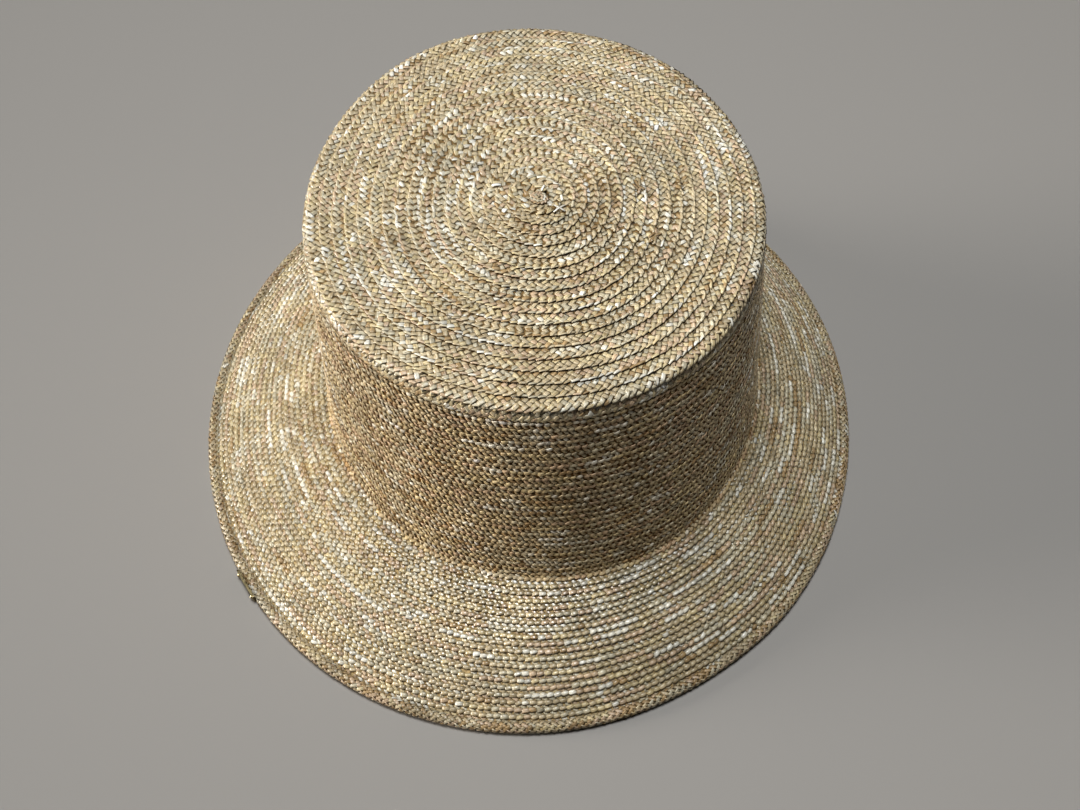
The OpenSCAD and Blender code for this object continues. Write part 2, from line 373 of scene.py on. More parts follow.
TAN = (0.595, 0.505, 0.335)
PINK = (0.62, 0.485, 0.335)
PALE = (0.63, 0.58, 0.43)
YELLOW = (0.66, 0.565, 0.35)
CREAM = (0.84, 0.82, 0.71)
BROWN = (0.46, 0.335, 0.18)
PALETTE = np.array([TAN, PINK, PALE, YELLOW, CREAM, BROWN])
# The share of straws in each colour of the palette: on the crown, on the brim, and on the edge row
STRAW_SHARES = [0.36, 0.13, 0.2, 0.18, 0.08, 0.05]
BRIM_SHARES = [0.3, 0.14, 0.24, 0.16, 0.13, 0.03]
EDGE_SHARES = [0.4, 0.16, 0.1, 0.14, 0.02, 0.18]


def straw_tints(rng, n, shares, shade=1.0, runs=0.45):
    """A colour for each straw down a column; runs is how often the next one is of the same straw."""
    picks = rng.choice(len(PALETTE), size=n, p=shares)
    again = rng.random(n) < runs
    for i in range(1, n):
        if again[i]:
            picks[i] = picks[i - 1]
    tint = PALETTE[picks] * rng.normal(1, 0.11, (n, 1)) * shade
    tint = np.clip(tint, 0.02, 0.95)
    return np.concatenate([tint, np.ones((n, 1))], 1)


# ---------------------------------------------------------------- materials


def node(tree, kind, at=(0, 0), **values):
    """A new shader node. Each value sets the input of its name, or else the property."""
    made = tree.nodes.new(kind)
    made.location = at
    for key, value in values.items():
        if key in made.inputs:
            made.inputs[key].default_value = value
        else:
            setattr(made, key, value)
    return made


def material(name, roughness, specular=0.5, sheen=0.0, coat=0.0, coat_roughness=0.3, metallic=0.0):
    """A new material, with its node tree and its shader."""
    made = bpy.data.materials.new(name)
    made.use_nodes = True
    tree = made.node_tree
    shader = tree.nodes["Principled BSDF"]
    shader.inputs["Roughness"].default_value = roughness
    shader.inputs["Specular IOR Level"].default_value = specular
    shader.inputs["Sheen Weight"].default_value = sheen
    shader.inputs["Coat Weight"].default_value = coat
    shader.inputs["Coat Roughness"].default_value = coat_roughness
    shader.inputs["Metallic"].default_value = metallic
    return made, tree, shader


DARK_FIBRE, LIGHT_FIBRE = (0.58, 0.48, 0.34), (1.34, 1.38, 1.48)
# Noise cells to the metre along a straw and across it; the third number sets each straw's own fibres apart
FIBRES = (240, 3000, 900)
# A Map Range node's vector sockets, which have the same names as its plain ones
VECTOR_IN, VECTOR_FROM_MIN, VECTOR_FROM_MAX, VECTOR_TO_MIN, VECTOR_TO_MAX = range(6, 11)


def noise(tree, at, vector, **values):
    """The value of a noise texture read at a vector."""
    made = node(tree, "ShaderNodeTexNoise", at, **values)
    tree.links.new(vector, made.inputs["Vector"])
    return made.outputs["Fac"]


def remap(tree, at, value, low, high, first=0.0, last=1.0):
    """A value between first and last, turned into one between low and high."""
    made = node(tree, "ShaderNodeMapRange", at)
    for socket, number in (("From Min", first), ("From Max", last), ("To Min", low), ("To Max", high)):
        made.inputs[socket].default_value = number
    tree.links.new(value, made.inputs["Value"])
    return made.outputs[0]


def bump(tree, at, shader, height, strength, depth):
    """Raises the surface by depth where height is 1."""
    made = node(tree, "ShaderNodeBump", at, Strength=strength, Distance=depth)
    tree.links.new(height, made.inputs["Height"])
    tree.links.new(made.outputs[0], shader.inputs["Normal"])


def stretched(tree, at, factors):
    """The strand coordinates, in metres along and across a straw or thread, each times its own factor."""
    strand = node(tree, "ShaderNodeAttribute", (at[0] - 200, at[1]), attribute_name="strand")
    made = node(tree, "ShaderNodeVectorMath", at, operation="MULTIPLY")
    made.inputs[1].default_value = factors
    tree.links.new(strand.outputs["Vector"], made.inputs[0])
    return made.outputs[0]


def straw_material(name, shade=1.0, coat=0.12, specular=0.5, dark=DARK_FIBRE, light=LIGHT_FIBRE):
    """Split straw: fine fibres along each straw, mottled colour, and a waxy gloss that follows the fibres."""
    made, tree, shader = material(name, 0.36, specular=specular, coat=coat, coat_roughness=0.2)
    link = tree.links.new
    tint = node(tree, "ShaderNodeAttribute", (-1200, 200), attribute_name="tint")
    place = node(tree, "ShaderNodeTexCoord", (-1400, -500)).outputs["Object"]
    along = stretched(tree, (-1200, -200), FIBRES)
    fibre = noise(tree, (-1000, -200), along, Scale=1.0, Detail=3.0, Roughness=0.65)
    blotch = noise(tree, (-1000, -500), place, Scale=60.0, Detail=3.0)

    # Darker fibres are also browner and lighter ones creamier
    streak = node(tree, "ShaderNodeMapRange", (-800, -100), data_type="FLOAT_VECTOR")
    streak.inputs[VECTOR_FROM_MIN].default_value = (0.28, 0.28, 0.28)
    streak.inputs[VECTOR_FROM_MAX].default_value = (0.72, 0.72, 0.72)
    streak.inputs[VECTOR_TO_MIN].default_value = [v * shade for v in dark]
    streak.inputs[VECTOR_TO_MAX].default_value = [v * shade for v in light]
    link(fibre, streak.inputs[VECTOR_IN])
    toned = node(tree, "ShaderNodeVectorMath", (-600, 0), operation="MULTIPLY")
    link(tint.outputs["Color"], toned.inputs[0])
    link(streak.outputs["Vector"], toned.inputs[1])
    colour = node(tree, "ShaderNodeVectorMath", (-400, 100), operation="SCALE")
    link(toned.outputs[0], colour.inputs[0])
    link(remap(tree, (-800, -500), blotch, 0.84, 1.14, 0.3, 0.7), colour.inputs["Scale"])
    link(colour.outputs[0], shader.inputs["Base Color"])

    # Smoother straws lie together in patches, where the gloss is sharper
    wear = noise(tree, (-1000, -800), place, Scale=95.0, Detail=2.0)
    rough = node(tree, "ShaderNodeMath", (-450, -400), operation="MULTIPLY")
    link(remap(tree, (-600, -400), fibre, 0.28, 0.48), rough.inputs[0])
    link(remap(tree, (-800, -800), wear, 0.6, 1.3, 0.35, 0.6), rough.inputs[1])
    link(rough.outputs[0], shader.inputs["Roughness"])
    bump(tree, (-300, -300), shader, fibre, 0.6, 0.00014)
    return made


def core_material():
    """The straws' hidden inner layers, seen only in the gaps: matt brown, unevenly dark; on the tip, wall and
    edge their dark tints are painted shade in the gaps.
    """
    made, tree, shader = material("straw_core_painted_shade", 0.95, specular=0.1)
    link = tree.links.new
    tint = node(tree, "ShaderNodeAttribute", (-900, 200), attribute_name="tint")
    place = node(tree, "ShaderNodeTexCoord", (-1100, -200)).outputs["Object"]
    fibre = noise(tree, (-900, -200), place, Scale=1400.0, Detail=4.0, Roughness=0.7)
    colour = node(tree, "ShaderNodeVectorMath", (-400, 100), operation="SCALE")
    link(tint.outputs["Color"], colour.inputs[0])
    link(remap(tree, (-700, -100), fibre, 0.3, 1.7), colour.inputs["Scale"])
    link(colour.outputs[0], shader.inputs["Base Color"])
    return made


straw_mat = straw_material("straw")
# The wall's straw has darker, browner fibres than the tip's: partly its own tone and partly painted shade, as
# the wall stands in shade
wall_shaded_straw_mat = straw_material(
    "wall_straw_painted_shade", coat=0.1, specular=0.4, dark=(0.44, 0.33, 0.21), light=(1.44, 1.4, 1.38))
brim_mat = straw_material(
    "brim_straw", coat=0.75, specular=0.7, dark=(0.68, 0.59, 0.45), light=(1.2, 1.23, 1.31))
edge_mat = straw_material("edge_straw", shade=0.86)
gap_shade_mat = core_material()

# ---------------------------------------------------------------- the braid

# Half the thickness of the braid's hidden inner layers
CORE_H = 0.3 * MM
# Places across a row where the strip of inner layers has its points; one below 0 is under the row before
CORE_PARTS = np.array([-0.16, 0.1, 0.36, 0.62, 0.88])


def braid_core(name, first, last, step, tint):
    """The braid's inner layers: one strip down the whole spiral, its outer side lapping over the next row."""
    heap = Heap()
    turns = spiral(first, last, 3 * MM)
    top, under = [], []
    for part in CORE_PARTS:
        point, _, _, normal = frame_at(turns / TURN + part, turns)
        height = step * MM * (part - 0.5)
        top.append(point + normal * (height + CORE_H))
        under.append(point + normal * (height - CORE_H))
    skin(heap, np.stack(top + under[::-1], 1), (*tint, 1))
    return heap.build(name, gap_shade_mat)


def column(heap, straw, turns, look, side, step, rng, tints, total, start, rough):
    """One column of straws down the spiral, part of the way across the row; side is 1 outside, -1 inside."""
    part, angle, length, width, lift, crown = look
    n = len(turns)
    point, along, across, normal = frame_at(turns / TURN + part, turns)
    wobble = rng.normal(0, 0.06 * MM * rough, (n, 2))
    height = side * CORE_H + step * MM * (part - 0.5) + rng.normal(0, 0.035 * MM * rough, n)
    centre = point + along * wobble[:, :1] + across * wobble[:, 1:] + normal * height[:, None]
    slope = side * step * MM / row_width(turns / TURN + 0.5)
    lay_straws(
        heap, straw, centre, along * side, across, normal * side,
        math.radians(angle) * side + rng.normal(0, 0.08 * rough, n),
        length * MM * rng.normal(1, 0.06, n), width * MM * rng.normal(1, 0.06, n),
        lift * MM * rng.normal(1, 0.15, n), crown * MM * rng.normal(1, 0.12, n),
        slope, rng.normal(0, 0.06 * rough, n), tints, total, start)
    return start + n


# PLAIN is for the braid's outside, SIMPLE for its inside, and FINE for everything else
FINE = Straw(5)
PLAIN = Straw(4)
SIMPLE = Straw(3)


def braid(name, first, last, step, outer, inner, seed, shade, rough, runs, shares, mat):
    """A stretch of the spiral: its straws outside and inside, each given as a step and a list of columns."""
    rng = np.random.default_rng(seed)
    heap = Heap()
    layers = []
    for grid, side, (pitch, columns) in ((PLAIN, 1, outer), (SIMPLE, -1, inner)):
        turns = spiral(first, last, pitch * MM)
        shift = (turns[1] - turns[0]) / 2
        layers += [(grid, side, turns + shift * late, look) for *look, late in columns]
    total, start = sum(len(layer[2]) for layer in layers), 0
    for grid, side, turns, look in layers:
        tints = straw_tints(rng, len(turns), shares, shade, runs)
        start = column(heap, grid, turns, look, side, step, rng, tints, total, start, rough)
    return heap.build(name, mat)


# The step along the braid from straw to straw, in mm, and each column: place across the row, slant in
# degrees, length, width, lift and roundness in mm, and whether it runs half a step late
TIP_LOOK = (2.7, [
    (0.13, -45, 2.7, 1.9, 0.16, 0.07, 0),
    (0.41, 45, 2.7, 1.9, 0.17, 0.08, 1),
    (0.69, -45, 2.7, 1.9, 0.18, 0.07, 0),
    (0.89, -9, 3.1, 1.2, 0.08, 0.13, 1),
])
TIP_UNDER = (3.4, [(0.27, 42, 3.9, 2.9, 0.22, 0.2, 0), (0.76, -42, 3.9, 2.9, 0.22, 0.2, 1)])
WALL_LOOK = (2.3, [(0.22, 44, 2.3, 1.3, 0.14, 0.12, 0), (0.66, -16, 2.4, 1.6, 0.26, 0.2, 1)])
BRIM_LOOK = (2.7, [(0.22, 40, 2.5, 1.6, 0.08, 0.08, 0), (0.68, -9, 2.8, 1.8, 0.26, 0.24, 1)])
ROW_UNDER = (3.3, [(0.27, 40, 3.6, 2.0, 0.2, 0.16, 0), (0.76, -40, 3.6, 2.0, 0.2, 0.16, 1)])
# How far each row's outer side stands above its inner side, in mm, and the colour of the layers under it; the
# tip's, wall's and edge's are dark brown as painted shade in the gaps, the brim's nearer the straw's own
# colour
TIP_STEP, WALL_STEP, BRIM_STEP = 0.68, 0.16, 0.4
TIP_CORE_SHADE, WALL_CORE_SHADE = (0.26, 0.17, 0.075), (0.2, 0.11, 0.04)
BRIM_CORE, EDGE_CORE_SHADE = (0.5, 0.37, 0.19), (0.16, 0.09, 0.03)

# Row numbers where the braid starts, turns into the wall, turns into the brim, and ends
braid_start = 0.1
first_wall = TIP_ROWS
first_brim = TIP_ROWS + WALL_ROWS
braid_end = ROWS - 0.08
# The row where the tip's braid is cut into its two pieces, and the rows in each of the brim's three
tip_cut = 12
brim_third = BRIM_ROWS // 3
made = {}
for name, first, last, seed in (("inner", braid_start, tip_cut, 11), ("outer", tip_cut, first_wall, 12)):
    made["tip_" + name] = braid(
        f"tip_braid_{name}", first, last, TIP_STEP, TIP_LOOK, TIP_UNDER, seed,
        shade=1.0, rough=1.4, runs=0.5, shares=STRAW_SHARES, mat=straw_mat)
for k, name in enumerate(("top", "upper", "lower", "foot")):
    first, last = first_wall + WALL_ROWS * k / 4, first_wall + WALL_ROWS * (k + 1) / 4
    made["wall_" + name] = braid(
        f"wall_braid_{name}", first, last, WALL_STEP, WALL_LOOK, ROW_UNDER, 13 + k,
        shade=1.06, rough=1.5, runs=0.45, shares=STRAW_SHARES, mat=wall_shaded_straw_mat)
for name, first, last, seed in (
        ("inner", first_brim, first_brim + brim_third, 17),
        ("middle", first_brim + brim_third, first_brim + 2 * brim_third, 18),
        ("outer", first_brim + 2 * brim_third, braid_end, 19)):
    made["brim_" + name] = braid(
        f"brim_braid_{name}", first, last, BRIM_STEP, BRIM_LOOK, ROW_UNDER, seed,
        shade=0.92, rough=1.2, runs=0.55, shares=BRIM_SHARES, mat=brim_mat)
# The inner layers' dark tints are painted shade in the gaps between the straws
braid_core("tip_core", braid_start, first_wall, TIP_STEP, TIP_CORE_SHADE)
braid_core("wall_core", first_wall, first_brim, WALL_STEP, WALL_CORE_SHADE)
braid_core("brim_core", first_brim, braid_end, BRIM_STEP, BRIM_CORE)
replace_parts(made["tip_outer"], "crown_tip")
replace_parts(made["wall_lower"], "crown_side")
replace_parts(made["brim_middle"], "brim")

# ---------------------------------------------------------------- the turned-under edge row


# Run along the meridian where the folded edge row sits
run_edge = np.interp(edge_in_u, mer_u[run > run_brim], run[run > run_brim])


def even_turns(u, pitch, first=0.0, last=TURN):
    """Directions of equal steps round the oval of half width u."""
    turns = np.linspace(first, last, 1441)
    x, y = oval(u, turns)
    length = np.concatenate([[0], np.cumsum(np.hypot(np.diff(x), np.diff(y)))])
    count = max(1, round(length[-1] / pitch))
    return np.interp((np.arange(count) + 0.5) / count * length[-1], length, turns), length[-1]


def edge_frames(turns):
    """Middle of the edge row, the direction along it, and the direction outwards."""
    rim = surface(np.full_like(turns, run_edge), turns)
    out = np.stack([np.cos(turns), np.sin(turns), np.zeros_like(turns)], -1)
    along = np.stack([-np.sin(turns), np.cos(turns), np.zeros_like(turns)], -1)
    middle = rim + out * (edge_u - edge_in_u) * 0.52
    middle[:, 2] = edge_h / 2 + 0.2 * MM
    return middle, along, out


def edge_row():
    """The last row, folded under the wire, in darker straw."""
    rng = np.random.default_rng(21)
    heap = Heap()
    turns, _ = even_turns(edge_u, 2.7 * MM)
    up = np.array([0, 0, 1.0])
    wide, high = 1.75 * MM, 1.5 * MM
    # Each column: place round the fold and slant, in degrees, and whether it runs half a step late
    columns = [
        (140, 30, 0), (95, -30, 1), (50, 30, 0), (8, -26, 1), (-38, 30, 0), (-90, -30, 1), (-140, 30, 0)]
    total = len(turns) * len(columns)
    start = 0
    shift = (turns[1] - turns[0]) / 2
    for place, slant, late in columns:
        at = turns + shift * late
        middle, along, out = edge_frames(at)
        c, s = math.cos(math.radians(place)), math.sin(math.radians(place))
        normal = unit(out * c / wide + up * s / high)
        across = unit(np.cross(along, normal)) * -1
        centre = middle + out * c * wide + up * s * high
        n = len(at)
        lay_straws(heap, FINE, centre, along, across, normal, math.radians(slant) + rng.normal(0, 0.07, n),
                   3.1 * MM * rng.normal(1, 0.05, n), 1.7 * MM * rng.normal(1, 0.05, n),
                   0.2 * MM * rng.normal(1, 0.1, n), 0.18 * MM * rng.normal(1, 0.1, n),
                   0.0, rng.normal(0, 0.05, n), straw_tints(rng, n, EDGE_SHARES, 0.9), total, start)
        start += n
    ring, _ = even_turns(edge_u, 2.6 * MM)
    middle, along, out = edge_frames(ring)
    fold = np.radians(np.linspace(165, -165, 15))
    shell = np.stack([np.cos(fold) * wide, np.sin(fold) * high], -1)
    section = np.concatenate([shell, shell[::-1] * 0.55])
    # The fold's inner layers, in near-black brown as painted shade between its straws
    core = Heap()
    rings = middle[:, None] + section[None, :, :1] * out[:, None] + section[None, :, 1:] * up
    skin(core, rings, (*EDGE_CORE_SHADE, 1), closed=True)
    core.build("edge_core", gap_shade_mat)
    return heap.build("edge_braid", edge_mat)


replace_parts(edge_row(), "brim_edge")

# ---------------------------------------------------------------- start of the braid, and its joints

# The coil's turns, its radius and the step between its straws, both in mm, and the width of the pad under it
COIL_TURNS, COIL_R, COIL_PITCH = 3, 3.0, 1.25
PAD = 5.6 * MM
# Each frayed end: place from the middle in mm, slant in degrees, length and width in mm
FRAYS = [
    (7.2, -5.6, 40, 5.4, 0.8),
    (7.3, -5.5, -38, 4.8, 0.75),
    (-15, 5.4, 10, 3.4, 1.5),
    (1.5, 4.2, 70, 3.0, 0.9),
]


def tip_start():
    """The braid's first few straws in a small flat coil over a pad, and the frayed ends beside them."""
    rng = np.random.default_rng(31)
    heap = Heap()
    middle = surface(np.array([0.0]), np.array([0.0]))[0]
    turns = np.linspace(0, COIL_TURNS * TURN, 200)
    radii = np.linspace(0.3, COIL_R, 200) * MM
    length = np.concatenate([[0], np.cumsum(np.hypot(np.diff(radii), radii[1:] * np.diff(turns)))])
    n = round(length[-1] / (COIL_PITCH * MM))
    steps = (np.arange(n) + 0.5) / n * length[-1]
    turn, radius = np.interp(steps, length, turns), np.interp(steps, length, radii)
    total = 1 + n + len(FRAYS)
    up = np.tile([0, 0, 1.0], (n, 1))
    out = np.stack([np.cos(turn), np.sin(turn), np.zeros(n)], -1)
    along = np.stack([-np.sin(turn), np.cos(turn), np.zeros(n)], -1)
    pad = np.array([PAD])
    lay_straws(heap, FINE, middle[None] + up[:1] * 0.1 * MM, along[:1], out[:1], up[:1], np.zeros(1),
               pad * 1.15, pad, 0.03 * pad, 0.03 * pad, 0.0, np.zeros(1), np.array([[*BROWN, 1.0]]), total, 0)
    high = (0.75 - 0.06 * radius / MM)[:, None] * MM
    lay_straws(heap, FINE, middle + out * radius[:, None] + up * high, along, out, up,
               np.radians(-24) + rng.normal(0, 0.15, n), np.full(n, 1.75 * MM), np.full(n, 1.05 * MM),
               np.full(n, 0.12 * MM), np.full(n, 0.14 * MM), 0.0, rng.normal(0, 0.1, n),
               straw_tints(rng, n, STRAW_SHARES, 0.95), total, 1)
    east, north, top = np.eye(3)[:, None]
    tint = np.minimum(np.array([[*CREAM, 1.0]]) * np.array([1.05, 1.08, 1.15, 1]), 0.95)
    for start, (x, y, slant, length, width) in enumerate(FRAYS, 1 + n):
        here = np.array([[middle[0] + x * MM, middle[1] + y * MM, middle[2] + 0.95 * MM]])
        lay_straws(heap, FINE, here, east, north, top, np.array([math.radians(slant)]),
                   np.array([length * MM]), np.array([width * MM]), np.array([0.3 * MM]),
                   np.array([0.1 * MM]), 0.0, np.zeros(1), tint, total, start)
    return heap.build("tip_start", straw_mat)


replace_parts(tip_start(), "tip_button")

# Where a new length of braid was joined on: piece, row, direction round the hat in radians, and mirror
SPLICES = [("tip_splice_lower", 10.05, -0.32, 1), ("tip_splice_upper", 8.35, 0.12, -1)]
# Each loose straw end at a joint: place along and across the row in mm, slant in degrees, length and width
# in mm, and colour
SPLICE_ENDS = [
    (-0.9, 0.1, 14, 4.6, 1.2, BROWN),
    (1.5, 0.5, -24, 4.0, 1.1, PINK),
    (0.2, -0.7, 30, 3.4, 1.0, BROWN),
    (-1.8, 0.9, -8, 3.8, 1.1, TAN),
    (1.0, 1.3, 52, 2.6, 0.9, BROWN),
]
SPLICE_TONE = 0.72
SPLICE_LIFT, SPLICE_LAP = 0.8 * MM, 0.05 * MM


def splice(name, row, turn, mirror):
    """The loose straw ends where one length of braid was joined to the next."""
    heap = Heap()
    point, along, across, normal = frame_at(np.array([row]), np.array([turn]))
    for start, (x, y, slant, length, width, colour) in enumerate(SPLICE_ENDS):
        here = point + (along * x * mirror + across * y) * MM + normal * (SPLICE_LIFT + SPLICE_LAP * start)
        tint = np.array([[*colour, 1.0]])
        tint[:, :3] *= SPLICE_TONE
        slants = np.array([math.radians(slant * mirror)])
        lengths, widths = np.array([length * MM]), np.array([width * MM])
        lay_straws(heap, FINE, here, along, across, normal, slants, lengths, widths, np.array([0.22 * MM]),
                   np.array([0.12 * MM]), 0.0, np.zeros(1), tint, len(SPLICE_ENDS), start)
    return heap.build(name, straw_mat)


for place in SPLICES:
    splice(*place)

# ---------------------------------------------------------------- sweatband, tape, label and stitches


def inside(z, turn, depth):
    """Points inside the crown's wall, at a depth from the wall's outside."""
    rise = (z - base_z) / (wall_hi.z - base_z)
    u = base_u + (shoulder_u - base_u) * rise - depth
    x, y = oval(u, turn)
    y = y + pressed(y) * rise
    bulge = unevenness(turn)
    shift_x = shift_base.x + (shift_tip.x - shift_base.x) * rise
    shift_y = shift_base.y + (shift_tip.y - shift_base.y) * rise
    return np.stack([x + np.cos(turn) * bulge + shift_x, y + np.sin(turn) * bulge + shift_y, z + 0 * x], -1)


def quads(p, q, r, t):
    """Faces from four grids of corners."""
    return np.stack([p, q, r, t], -1).reshape(-1, 4)


def ribbon(name, mat, low, high, first, last, depth, thick, rib, rib_h, loose, seed):
    """A ribbon laid round the inside of the wall, its ribs running up and down. rib is the step from rib to
    rib, rib_h how far one stands out, and loose about how far its upper edge stands off the wall."""
    columns, length = even_turns(base_u - depth, rib / 4, first, last)
    whole = last - first > TURN - 0.01
    n, m = len(columns), 9
    up = np.linspace(0, 1, m)
    turn = columns[:, None] + 0 * up[None]
    z = low + (high - low) * up[None] + 0 * turn
    ribs = rib_h * np.cos(np.arange(n) * math.pi / 2)[:, None]
    free = np.abs(wave(turn, seed, 9, loose) * up[None] ** 2)
    outer = inside(z, turn, depth + free)
    inner = inside(z, turn, depth + thick + free + ribs)
    grid = np.arange(n * m).reshape(n, m)
    after = np.roll(grid, -1, axis=0)
    spans = slice(None) if whole else slice(0, n - 1)
    a, b = grid[spans], after[spans]
    k = n * m
    front = quads(a[:, :-1] + k, a[:, 1:] + k, b[:, 1:] + k, b[:, :-1] + k)
    back = quads(a[:, :-1], b[:, :-1], b[:, 1:], a[:, 1:])
    foot = quads(a[:, 0], a[:, 0] + k, b[:, 0] + k, b[:, 0])
    head = quads(a[:, -1], b[:, -1], b[:, -1] + k, a[:, -1] + k)
    faces = [front, back, foot, head]
    if not whole:
        for row, flip in ((grid[0], 1), (grid[-1], -1)):
            end = quads(row[:-1], row[1:], row[1:] + k, row[:-1] + k)
            faces.append(end[:, ::flip])
    # The side against the wall takes the upper part of each line of the texture, and the other the lower part
    place = np.zeros((2 * k, 2))
    lines = max(1, round(math.sqrt(length / (high - low))))
    per = math.ceil(n / lines)
    column_of = np.repeat(np.arange(n), m)
    place[:k, 0] = place[k:, 0] = (column_of % per) / per
    place[:k, 1] = (column_of // per + 0.55 + 0.4 * np.tile(up, n)) / lines
    place[k:, 1] = (column_of // per + 0.02 + 0.5 * np.tile(up, n)) / lines
    heap = Heap()
    maps = []
    for f in faces:
        # A face that would reach right across the texture takes one point of it
        uv = place[f]
        wrapped = uv[..., 0].max(1) - uv[..., 0].min(1) > 0.5
        uv[wrapped] = uv[wrapped][:, :1]
        maps.append(uv)
    strand = np.stack([column_of * rib / 4, np.tile(up, n) * (high - low), np.zeros(k)], -1)
    points = np.concatenate([outer.reshape(-1, 3), inner.reshape(-1, 3)])
    heap.add(points, faces, np.ones((2 * k, 4)), np.concatenate([strand] * 2), maps)
    return heap.build(name, mat), length


def cloth_material(name, colour, roughness, sheen, threads, depth, vary=0.12):
    """Woven ribbon: ribs or satin floats across it, with slight unevenness from thread to thread."""
    made, tree, shader = material(name, roughness, specular=0.3, sheen=sheen)
    link = tree.links.new
    weave = noise(tree, (-900, 0), stretched(tree, (-1100, 0), threads), Scale=1.0, Detail=2.0)
    mixed = node(tree, "ShaderNodeVectorMath", (-500, 100), operation="SCALE")
    mixed.inputs[0].default_value = colour
    link(remap(tree, (-700, 100), weave, 1 - vary, 1 + vary), mixed.inputs["Scale"])
    link(mixed.outputs[0], shader.inputs["Base Color"])
    bump(tree, (-400, -200), shader, weave, 0.5, depth)
    return made


ribbon_mat = cloth_material("grosgrain", (0.78, 0.71, 0.55), 0.75, 0.3, (2500, 9000, 1), 0.00015, vary=0.2)
label_mat = cloth_material("satin", (0.85, 0.83, 0.77), 0.42, 0.15, (14000, 2500, 1), 0.00004, vary=0.06)
thread_mat = cloth_material("cotton", (0.86, 0.81, 0.68), 0.7, 0.2, (9000, 5000, 900), 0.00005)

band_depth = 1.85 * MM
band_t = 0.7 * MM
band, band_l = ribbon("sweatband_ribbon", ribbon_mat, band_lo.z, band_hi.z, 0, TURN,
                      band_depth, band_t, rib=1.2 * MM, rib_h=0.12 * MM, loose=0.5 * MM, seed=41)
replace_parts(band, "sweatband")
tape_half = (tape_hi.x - tape_lo.x) / 2 / (base_u + oval_extra - end_c)
tape_depth = band_depth + band_t + 0.05 * MM
tape, tape_l = ribbon("sweatband_joint_tape", ribbon_mat, tape_lo.z, tape_hi.z,
                      -TURN / 4 - tape_half, -TURN / 4 + tape_half, tape_depth, thick=0.5 * MM,
                      rib=1.2 * MM, rib_h=0.1 * MM, loose=0.3 * MM, seed=42)
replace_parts(tape, "joint_tape")
label_half = (label_hi.y - label_lo.y) / 2 / (base_u + side_c)
label_depth = band_depth + band_t + 0.6 * MM
label, label_l = ribbon("size_label_blank", label_mat, label_lo.z, label_hi.z,
                        TURN / 2 - label_half, TURN / 2 + label_half, label_depth, thick=0.35 * MM,
                        rib=0.4 * MM, rib_h=0.01 * MM, loose=1.2 * MM, seed=43)
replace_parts(label, "blank_label")


def stitches():
    """Running stitches near the sweatband's lower edge."""
    heap = Heap()
    turns, _ = even_turns(base_u - band_depth, 5.6 * MM)
    n = len(turns)
    z = np.full(n, band_lo.z + 2 * MM)
    centre = inside(z, turns, band_depth + band_t + 0.02 * MM)
    along = np.stack([-np.sin(turns), np.cos(turns), np.zeros(n)], -1)
    normal = -np.stack([np.cos(turns), np.sin(turns), np.zeros(n)], -1)
    across = np.tile([0, 0, 1.0], (n, 1))
    angle, length, width, lift, crown = np.outer([0.06, 3.4 * MM, 0.5 * MM, 0.22 * MM, 0.12 * MM], np.ones(n))
    lay_straws(heap, FINE, centre, along, across, normal, angle, length, width, lift, crown, 0.0, np.zeros(n),
               np.ones((n, 4)), n, 0)
    return heap.build("sweatband_stitches", thread_mat)


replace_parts(stitches(), "sweatband_thread")

# ---------------------------------------------------------------- metal, on the CAD's own parts


def metal(name, colour, dark, roughness, scale):
    """Metal with a tarnish that darkens it in patches and dulls its gloss there."""
    made, tree, shader = material(name, roughness, metallic=1.0)
    link = tree.links.new
    place = node(tree, "ShaderNodeTexCoord", (-1000, 0)).outputs["Object"]
    patch = noise(tree, (-800, 0), place, Scale=scale, Detail=6.0, Roughness=0.65)
    ramp = node(tree, "ShaderNodeValToRGB", (-600, 100))
    for stop, at, tone in zip(ramp.color_ramp.elements, (0.38, 0.62), (dark, colour)):
        stop.position = at
        stop.color = (*tone, 1)
    link(patch, ramp.inputs["Fac"])
    link(ramp.outputs["Color"], shader.inputs["Base Color"])
    link(remap(tree, (-600, -200), patch, roughness + 0.2, roughness - 0.08), shader.inputs["Roughness"])
    return made


brass_mat = metal("antique_brass", (0.30, 0.25, 0.14), (0.11, 0.09, 0.05), 0.4, 900)
rivet_mat = metal("rubbed_brass", (0.62, 0.52, 0.3), (0.3, 0.24, 0.13), 0.32, 1500)
steel_mat = metal("drawn_steel", (0.55, 0.55, 0.56), (0.35, 0.35, 0.36), 0.35, 400)


def finish_node(name, mat):
    """Gives a CAD part its Blender material."""
    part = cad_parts[name]
    part.data.materials.clear()
    part.data.materials.append(mat)


finish_node("brim_plate", brass_mat)
finish_node("plate_rivets", rivet_mat)
finish_node("wire_joiner", brass_mat)
finish_node("brim_wire", steel_mat)

# ---------------------------------------------------------------- stage

# The floor's half side, and the backdrop's radius, height and number of sides
FLOOR, BACK_R, BACK_TOP, BACK_SIDES = 12.0, 11.0, 6.0, 64


def stage_mesh(name, points, faces, mat):
    """A plain mesh of the stage, put in the scene."""
    mesh = bpy.data.meshes.new(name)
    mesh.from_pydata(points, [], faces)
    mesh.materials.append(mat)
    stood = bpy.data.objects.new(name, mesh)
    bpy.context.scene.collection.objects.link(stood)
    return stood


floor_mat, _, floor_shader = material("pale_floor", 0.7, specular=0.2)
floor_shader.inputs["Base Color"].default_value = (0.34, 0.325, 0.305, 1)
floor_points = [(-FLOOR, -FLOOR, 0), (FLOOR, -FLOOR, 0), (FLOOR, FLOOR, 0), (-FLOOR, FLOOR, 0)]
floor = stage_mesh("floor", floor_points, [(0, 1, 2, 3)], floor_mat)

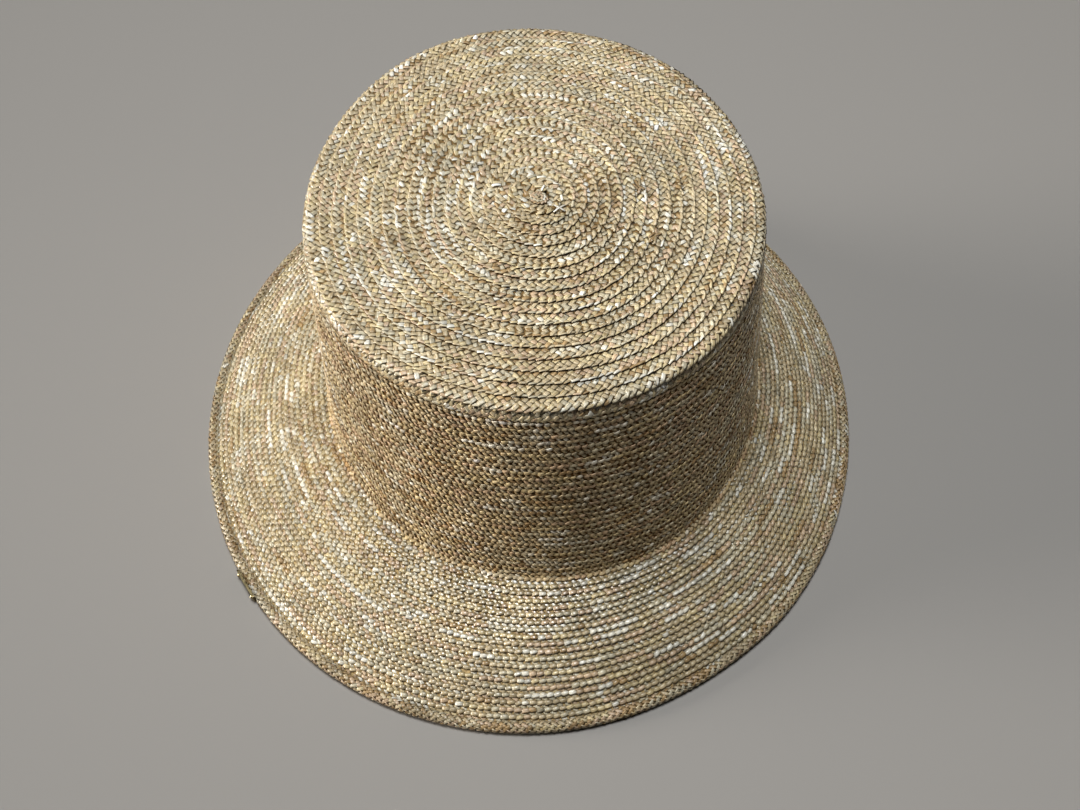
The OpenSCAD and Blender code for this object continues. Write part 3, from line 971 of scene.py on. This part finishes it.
backdrop_mat, _, backdrop_shader = material("pale_backdrop", 1.0, specular=0.0)
backdrop_shader.inputs["Base Color"].default_value = (0, 0, 0, 1)
backdrop_shader.inputs["Emission Color"].default_value = (0.116, 0.109, 0.101, 1)
backdrop_shader.inputs["Emission Strength"].default_value = 1.0
ways = [k * TURN / BACK_SIDES for k in range(BACK_SIDES)]
backdrop_points = [(BACK_R * math.cos(a), BACK_R * math.sin(a), z) for z in (0, BACK_TOP) for a in ways]
backdrop_faces = [(k, (k + 1) % BACK_SIDES, BACK_SIDES + (k + 1) % BACK_SIDES, BACK_SIDES + k)
                  for k in range(BACK_SIDES)]
backdrop = stage_mesh("backdrop", backdrop_points, backdrop_faces, backdrop_mat)
# The backdrop is only seen: it lights nothing, and its glow matches the floor's brightness far from the hat
for kind in ("diffuse", "glossy", "transmission", "shadow"):
    setattr(backdrop, "visible_" + kind, False)


def lamp(name, kind, place, way, strength, colour, **form):
    """A lamp at a place, shining along way; form is its size and shape."""
    data = bpy.data.lights.new(name, kind)
    data.energy = strength
    data.color = colour
    for key, value in form.items():
        setattr(data, key, value)
    made = bpy.data.objects.new(name, data)
    made.location = place
    made.rotation_euler = Vector(way).to_track_quat("-Z", "Y").to_euler()
    bpy.context.scene.collection.objects.link(made)


DAYLIGHT, WINDOW_LIGHT = (0.98, 1.0, 1.02), (1.0, 0.95, 0.89)
AIM = Vector((0, 0, 0.06))
OVERHEAD = Vector((-0.03, 0.05, 1.3))
# The two far lights have no place of their own, and angle is how wide each one looks, in radians
lamp("ceiling", "SUN", (0, 0, 0), (0.03, -0.05, -1.25), 0.6, DAYLIGHT, angle=0.35)
# The window is far off, so that it lights the floor evenly
lamp("window", "SUN", (0, 0, 0), (1.2, -0.02, -0.14), 4.15, WINDOW_LIGHT, angle=0.49)
lamp("overhead", "AREA", OVERHEAD, AIM - OVERHEAD, 9.3, DAYLIGHT, shape="DISK", size=0.45)

world = bpy.data.worlds.new("studio")
world.use_nodes = True
sky = world.node_tree.nodes["Background"]
sky.inputs["Color"].default_value = (1.0, 0.86, 0.68, 1)
sky.inputs["Strength"].default_value = 0.011
bpy.context.scene.world = world
view = bpy.context.scene.view_settings
view.view_transform = "Standard"
view.look = "Medium High Contrast"

# ---------------------------------------------------------------- camera

camera_data = bpy.data.cameras.new("camera")
camera_data.sensor_width = 36
camera_data.lens = 41.67
camera_data.clip_start = 0.01
camera = bpy.data.objects.new("camera", camera_data)
bpy.context.scene.collection.objects.link(camera)
# Where the camera stands, how steeply it looks down, and its slight roll, fitted to the photo's outlines
stand = Matrix.Translation((0.0051, -0.3060, 0.4399))
elevation, roll = math.radians(55.31), 0.004
tilt = Matrix.Rotation(math.pi / 2 - elevation, 4, "X") @ Matrix.Rotation(roll, 4, "Z")
camera.matrix_world = stand @ tilt
bpy.context.scene.camera = camera
